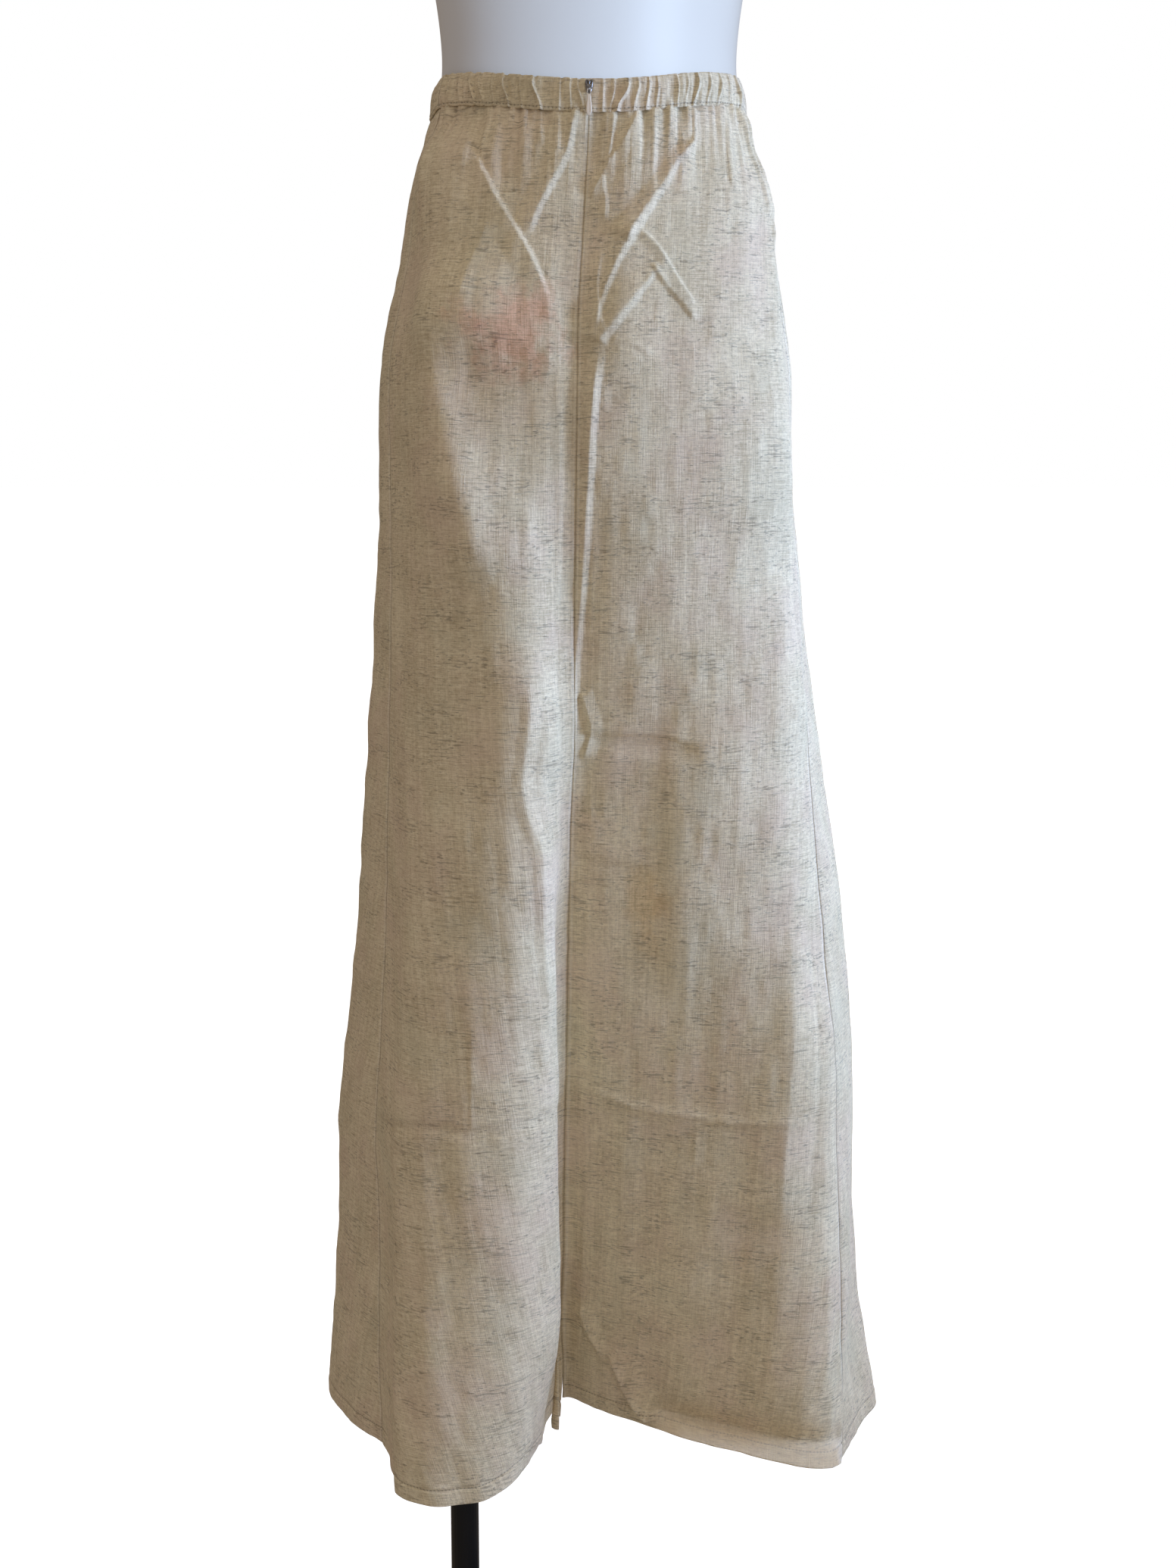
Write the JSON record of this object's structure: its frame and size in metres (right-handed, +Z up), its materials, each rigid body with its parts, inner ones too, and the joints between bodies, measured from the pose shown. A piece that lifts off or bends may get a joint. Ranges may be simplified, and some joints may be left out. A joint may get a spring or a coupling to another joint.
{
  "type": "maxi skirt on a dress form",
  "caption": "Long linen skirt with an elastic-gathered back waist and a concealed centre zip, hanging on a limbless dress form with a pole and round base.",
  "frame": {"origin": "on the floor, at the centre of the underside of the stand's round base, under the form's axis", "axes": "+Z up along the form, +Y towards the skirt's front, so its back and zip face -Y, and +X to the right as the back is seen"},
  "size_m": [0.482, 0.3325, 1.83],
  "materials": {
    "linen": "plain-weave oatmeal linen with dark slubs, matt, pressed and creased",
    "zip_tape": "woven polyester tape, matt",
    "zip_metal": "cream enamel, satin",
    "form_shell": "smooth white gloss",
    "stand_steel": "black powder coat, satin"
  },
  "bodies": {
    "skirt_on_form": {"back_panel_left": "linen", "back_panel_right": "linen", "front_panel": "linen", "waistband_back_left": "linen", "waistband_back_right": "linen", "waistband_front": "linen", "zip_tape": "zip_tape", "zip_slider": "zip_metal", "form_torso": "form_shell", "form_socket": "stand_steel", "form_pole": "stand_steel", "form_foot": "stand_steel", "form_base": "stand_steel"},
    "zip_tab": {"zip_pull": "zip_metal"}
  },
  "joints": [
    {"name": "zip_pull_hinge", "type": "hinge", "parent": "skirt_on_form", "child": "zip_tab", "pos_m": [-0.00015, -0.09351, 1.382], "axis": [-1, 0, 0], "range_deg": [0, 160]}
  ]
}
